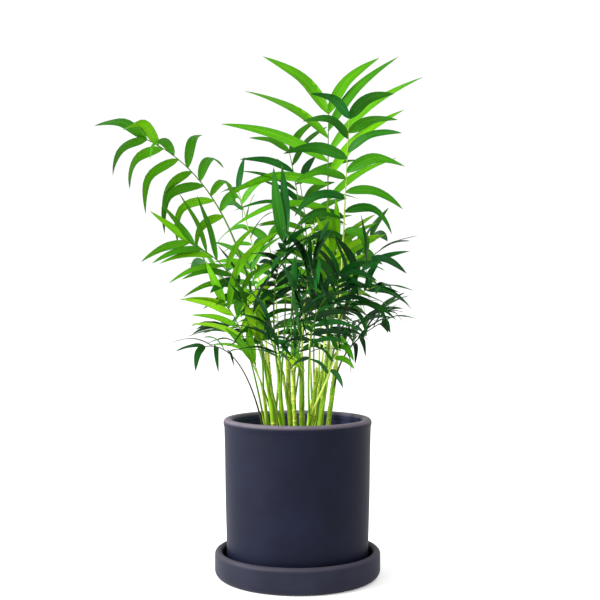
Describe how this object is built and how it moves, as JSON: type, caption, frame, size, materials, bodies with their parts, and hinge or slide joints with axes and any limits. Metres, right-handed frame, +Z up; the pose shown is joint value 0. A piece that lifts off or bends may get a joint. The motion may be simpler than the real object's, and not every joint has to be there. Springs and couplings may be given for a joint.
{
  "type": "potted parlour palm",
  "caption": "Clump of young parlour palm seedlings with arching feathery fronds, growing in a plain round pot that stands in a matching saucer.",
  "frame": {"origin": "centre of the saucer's flat underside, on the surface that the pot plant stands on", "axes": "+Z up through the pot's middle; -Y is the front that is seen in the usual view; the long arching frond reaches to -X"},
  "size_m": [0.2995, 0.2971, 0.5083],
  "materials": {
    "pot": "matt dark slate blue",
    "saucer": "matt dark slate blue",
    "soil": "dark crumbly potting mix",
    "cane": "smooth yellow green, ringed",
    "frond_lime": "young yellow-green leaf, satin",
    "frond_fresh": "fresh green leaf, satin",
    "frond_mid": "mid green leaf, satin",
    "frond_dark": "deep green leaf, satin"
  },
  "bodies": {
    "root": {"saucer": "saucer", "pot": "pot", "soil": "soil", "cane_A": "cane", "cane_B": "cane", "cane_C": "cane", "cane_D": "cane", "cane_E": "cane", "cane_F": "cane", "cane_G": "cane", "cane_H": "cane", "cane_I": "cane", "cane_J": "cane", "cane_K": "cane", "cane_L": "cane", "frond_01": "frond_fresh", "frond_02": "frond_fresh", "frond_03": "frond_mid", "frond_04": "frond_mid", "frond_05": "frond_mid", "frond_06": "frond_mid", "frond_07": "frond_fresh", "frond_08": "frond_lime", "frond_09": "frond_dark", "frond_10": "frond_mid", "frond_11": "frond_fresh", "frond_12": "frond_mid", "frond_13": "frond_dark", "frond_14": "frond_dark", "frond_15": "frond_dark", "frond_16": "frond_dark", "frond_17": "frond_dark", "frond_18": "frond_lime", "frond_19": "frond_mid", "frond_20": "frond_dark", "frond_21": "frond_dark", "frond_22": "frond_dark", "frond_23": "frond_dark", "frond_24": "frond_mid", "frond_25": "frond_mid", "frond_26": "frond_dark", "frond_27": "frond_mid", "frond_28": "frond_fresh", "frond_29": "frond_dark", "frond_30": "frond_mid", "frond_31": "frond_dark", "frond_32": "frond_mid", "frond_33": "frond_fresh", "frond_34": "frond_mid", "frond_35": "frond_lime", "frond_36": "frond_lime", "frond_37": "frond_lime"}
  },
  "joints": []
}
